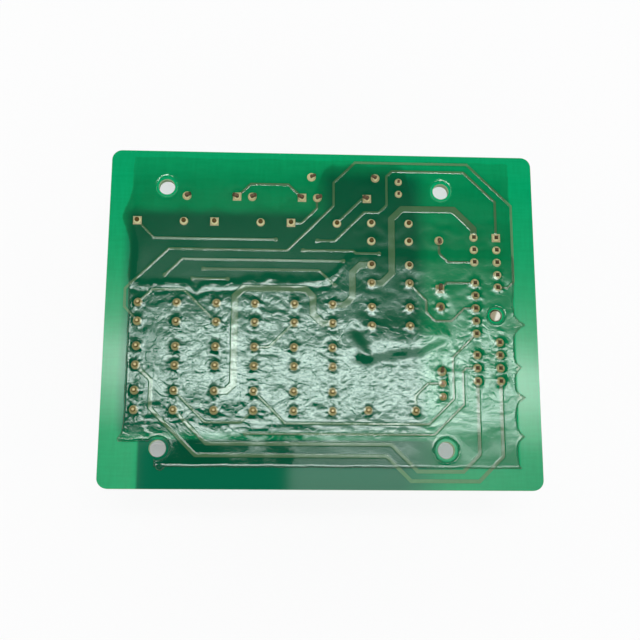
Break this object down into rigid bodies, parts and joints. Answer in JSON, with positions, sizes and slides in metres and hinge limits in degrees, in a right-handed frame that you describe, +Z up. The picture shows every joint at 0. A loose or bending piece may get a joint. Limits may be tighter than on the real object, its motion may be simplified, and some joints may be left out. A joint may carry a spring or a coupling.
{
  "type": "relay board",
  "caption": "Relay board with clear-covered relays, diodes, resistors, lamps and a plug connector under a varnished solder side; switches loads from low-power signals.",
  "frame": {"origin": "on the plane that the relay covers' tops rest on, below the middle of the board", "axes": "+Z up out of the solder side, +X along the board toward the connector, +Y across the board toward the resistor beside the lamp"},
  "size_m": [0.0842, 0.0666, 0.0273],
  "materials": {
    "laminate": "green solder mask over woven glass laminate",
    "masked_copper": "copper under green solder mask",
    "plating": "gold-coloured pad finish",
    "solder": "bright solder seen through amber varnish",
    "varnish": "clear glossy wrinkled varnish",
    "clear_cover": "clear smoky polycarbonate",
    "black_moulding": "black glass-filled moulding",
    "ivory_moulding": "ivory moulding",
    "coil_wire": "enamelled copper wire",
    "soft_iron": "nickel-plated soft iron",
    "red_moulding": "red moulding",
    "spring_bronze": "bronze spring strip",
    "contact_brass": "tinned brass strip",
    "white_moulding": "natural nylon",
    "pin_metal": "tin over brass, dulled",
    "black_epoxy": "moulded epoxy with a grey cathode band",
    "tinned_wire": "tinned copper wire",
    "resistor_lacquer": "lacquered body with colour bands",
    "lamp_resin": "tinted clear resin"
  },
  "bodies": {
    "board": {"board": "laminate", "tracks": "masked_copper", "pads": "plating", "solder_joints": "solder", "varnish_film": "varnish", "relay_1_cover": "clear_cover", "relay_1_base": "black_moulding", "relay_1_bobbin": "ivory_moulding", "relay_1_winding": "coil_wire", "relay_1_yoke": "soft_iron", "relay_1_springs": "spring_bronze", "relay_1_contacts": "contact_brass", "relay_2_cover": "clear_cover", "relay_2_base": "black_moulding", "relay_2_bobbin": "ivory_moulding", "relay_2_winding": "coil_wire", "relay_2_yoke": "soft_iron", "relay_2_springs": "spring_bronze", "relay_2_contacts": "contact_brass", "relay_3_cover": "clear_cover", "relay_3_base": "black_moulding", "relay_3_bobbin": "ivory_moulding", "relay_3_winding": "coil_wire", "relay_3_yoke": "soft_iron", "relay_3_springs": "spring_bronze", "relay_3_contacts": "contact_brass", "relay_4_cover": "clear_cover", "relay_4_base": "black_moulding", "relay_4_bobbin": "ivory_moulding", "relay_4_winding": "coil_wire", "relay_4_yoke": "soft_iron", "relay_4_springs": "spring_bronze", "relay_4_contacts": "contact_brass", "connector_shroud": "white_moulding", "connector_pins": "pin_metal", "diode_1": "black_epoxy", "diode_2": "black_epoxy", "diode_3": "black_epoxy", "diode_4": "black_epoxy", "diode_leads": "tinned_wire", "resistor_1": "resistor_lacquer", "resistor_2": "resistor_lacquer", "resistor_leads": "tinned_wire", "lamp_1": "lamp_resin", "lamp_2": "lamp_resin", "lamp_leads": "tinned_wire"},
    "relay_1_armature": {"relay_1_armature": "soft_iron"},
    "relay_1_card": {"relay_1_card": "red_moulding"},
    "relay_2_armature": {"relay_2_armature": "soft_iron"},
    "relay_2_card": {"relay_2_card": "red_moulding"},
    "relay_3_armature": {"relay_3_armature": "soft_iron"},
    "relay_3_card": {"relay_3_card": "red_moulding"},
    "relay_4_armature": {"relay_4_armature": "soft_iron"},
    "relay_4_card": {"relay_4_card": "red_moulding"}
  },
  "joints": [
    {"name": "relay_1_pull_in", "type": "hinge", "parent": "board", "child": "relay_1_armature", "pos_m": [-0.032, 0.0076, 0.01935], "axis": [1, 0, 0], "range_deg": [0, 3.2]},
    {"name": "relay_1_card_slide", "type": "slide", "parent": "board", "child": "relay_1_card", "axis": [0, 1, 0], "range_m": [0, 0.000907], "stiffness_N_per_m": 360, "deforming": ["relay_1_springs"]},
    {"name": "relay_2_pull_in", "type": "hinge", "parent": "board", "child": "relay_2_armature", "pos_m": [-0.0169, 0.0076, 0.01935], "axis": [1, 0, 0], "range_deg": [0, 3.2]},
    {"name": "relay_2_card_slide", "type": "slide", "parent": "board", "child": "relay_2_card", "axis": [0, 1, 0], "range_m": [0, 0.000907], "stiffness_N_per_m": 360, "deforming": ["relay_2_springs"]},
    {"name": "relay_3_pull_in", "type": "hinge", "parent": "board", "child": "relay_3_armature", "pos_m": [-0.0018, 0.0076, 0.01935], "axis": [1, 0, 0], "range_deg": [0, 3.2]},
    {"name": "relay_3_card_slide", "type": "slide", "parent": "board", "child": "relay_3_card", "axis": [0, 1, 0], "range_m": [0, 0.000907], "stiffness_N_per_m": 360, "deforming": ["relay_3_springs"]},
    {"name": "relay_4_pull_in", "type": "hinge", "parent": "board", "child": "relay_4_armature", "pos_m": [0.0133, -0.0072, 0.01935], "axis": [-1, 0, 0], "range_deg": [0, 3.2]},
    {"name": "relay_4_card_slide", "type": "slide", "parent": "board", "child": "relay_4_card", "axis": [0, -1, 0], "range_m": [0, 0.000907], "stiffness_N_per_m": 360, "deforming": ["relay_4_springs"]}
  ],
  "couplings": [
    {"joint": "relay_1_pull_in", "follows": "relay_1_card_slide", "rad_per_m": 61.54},
    {"joint": "relay_2_pull_in", "follows": "relay_2_card_slide", "rad_per_m": 61.54},
    {"joint": "relay_3_pull_in", "follows": "relay_3_card_slide", "rad_per_m": 61.54},
    {"joint": "relay_4_pull_in", "follows": "relay_4_card_slide", "rad_per_m": 61.54}
  ]
}
